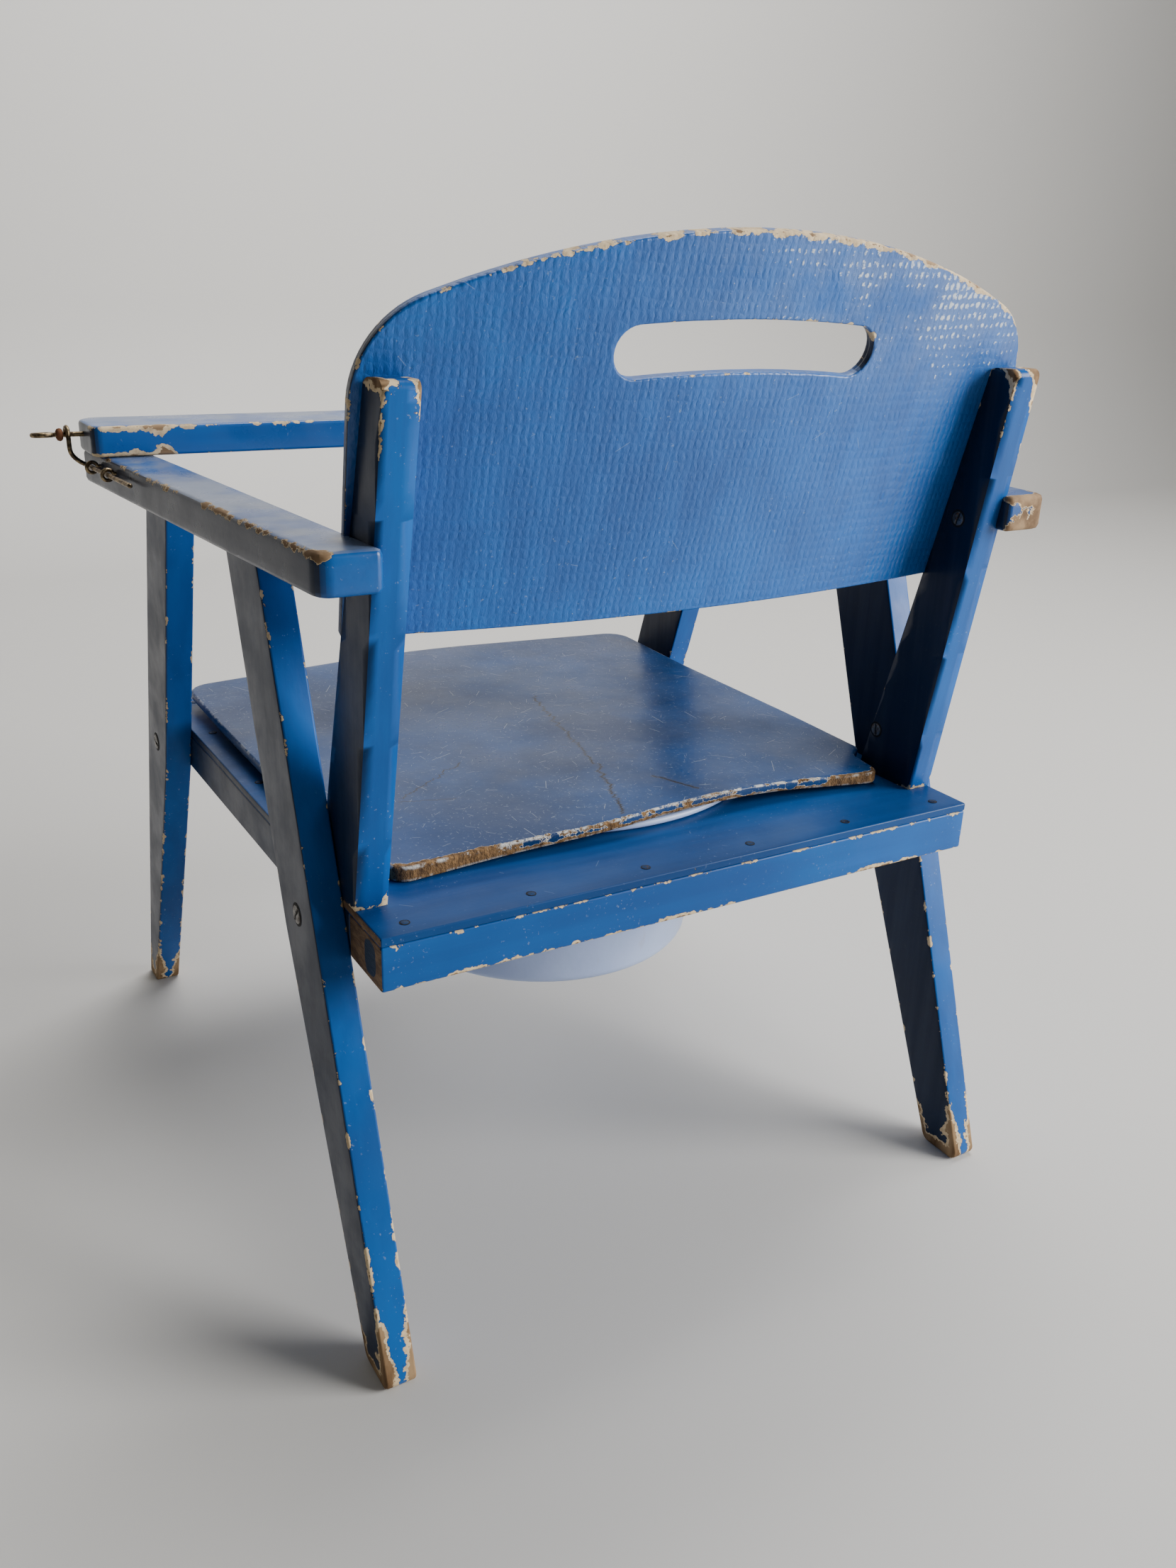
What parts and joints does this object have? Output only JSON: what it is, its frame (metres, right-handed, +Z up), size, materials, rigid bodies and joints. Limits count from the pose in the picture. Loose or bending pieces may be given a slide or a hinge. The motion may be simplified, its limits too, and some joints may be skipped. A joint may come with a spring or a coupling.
{
  "type": "potty training chair",
  "caption": "Painted wooden potty chair for a toddler, with splayed legs, a curved back, armrests, a hooked guard bar and a lidded potty.",
  "frame": {"origin": "on the floor, in the chair's middle plane, midway between the tips of the front and rear feet", "axes": "+Z up; the child faces -Y, so the back is on the +Y side; +X is towards the child's left, where the bar's hook is"},
  "size_m": [0.4221, 0.3996, 0.4573],
  "materials": {
    "painted_wood": "blue gloss paint worn to cream undercoat and brown wood along the edges",
    "painted_board": "thin hardboard with a woven back face under blue paint, worn pale along the edges",
    "aged_steel": "dull, lightly rusted, with flakes of blue paint",
    "aged_brass": "dark aged wire",
    "rusty_steel": "rusted",
    "potty_plastic": "smooth pale lavender white"
  },
  "bodies": {
    "frame": {"front_leg_left": "painted_wood", "front_leg_right": "painted_wood", "rear_leg_left": "painted_wood", "rear_leg_right": "painted_wood", "side_rail_left": "painted_wood", "side_rail_right": "painted_wood", "front_rail": "painted_wood", "rear_rail": "painted_wood", "seat_board": "painted_board", "upright_left": "painted_wood", "upright_right": "painted_wood", "back_panel": "painted_board", "arm_left": "painted_wood", "arm_right": "painted_wood", "leg_screws": "aged_steel", "upright_screws": "aged_steel", "arm_screws": "aged_steel", "seat_nails": "aged_steel", "back_nails": "aged_steel", "pivot_bolt": "aged_steel", "pivot_washers": "aged_steel", "pivot_nut": "aged_steel", "hook_eyelets": "aged_brass"},
    "bar": {"guard_bar": "painted_wood", "screw_eye": "aged_brass", "eye_collar": "rusty_steel"},
    "hook": {"latch_hook": "aged_brass"},
    "potty": {"potty": "potty_plastic"},
    "lid": {"seat_lid": "painted_board"}
  },
  "joints": [
    {"name": "bar_swing", "type": "hinge", "parent": "frame", "child": "bar", "pos_m": [-0.183, -0.08088, 0.3503], "axis": [0, 0, -1], "range_deg": [0, 110]},
    {"name": "hook_swing", "type": "hinge", "parent": "frame", "child": "hook", "pos_m": [0.19909, -0.08062, 0.3445], "axis": [-0.0745, 0.9972, 0], "range_deg": [0, 115]},
    {"name": "potty_lift", "type": "slide", "parent": "frame", "child": "potty", "axis": [0, 0, 1], "range_m": [0, 0.05]},
    {"name": "lid_lift", "type": "slide", "parent": "potty", "child": "lid", "axis": [0, 0, 1], "range_m": [0, 0.04]}
  ]
}
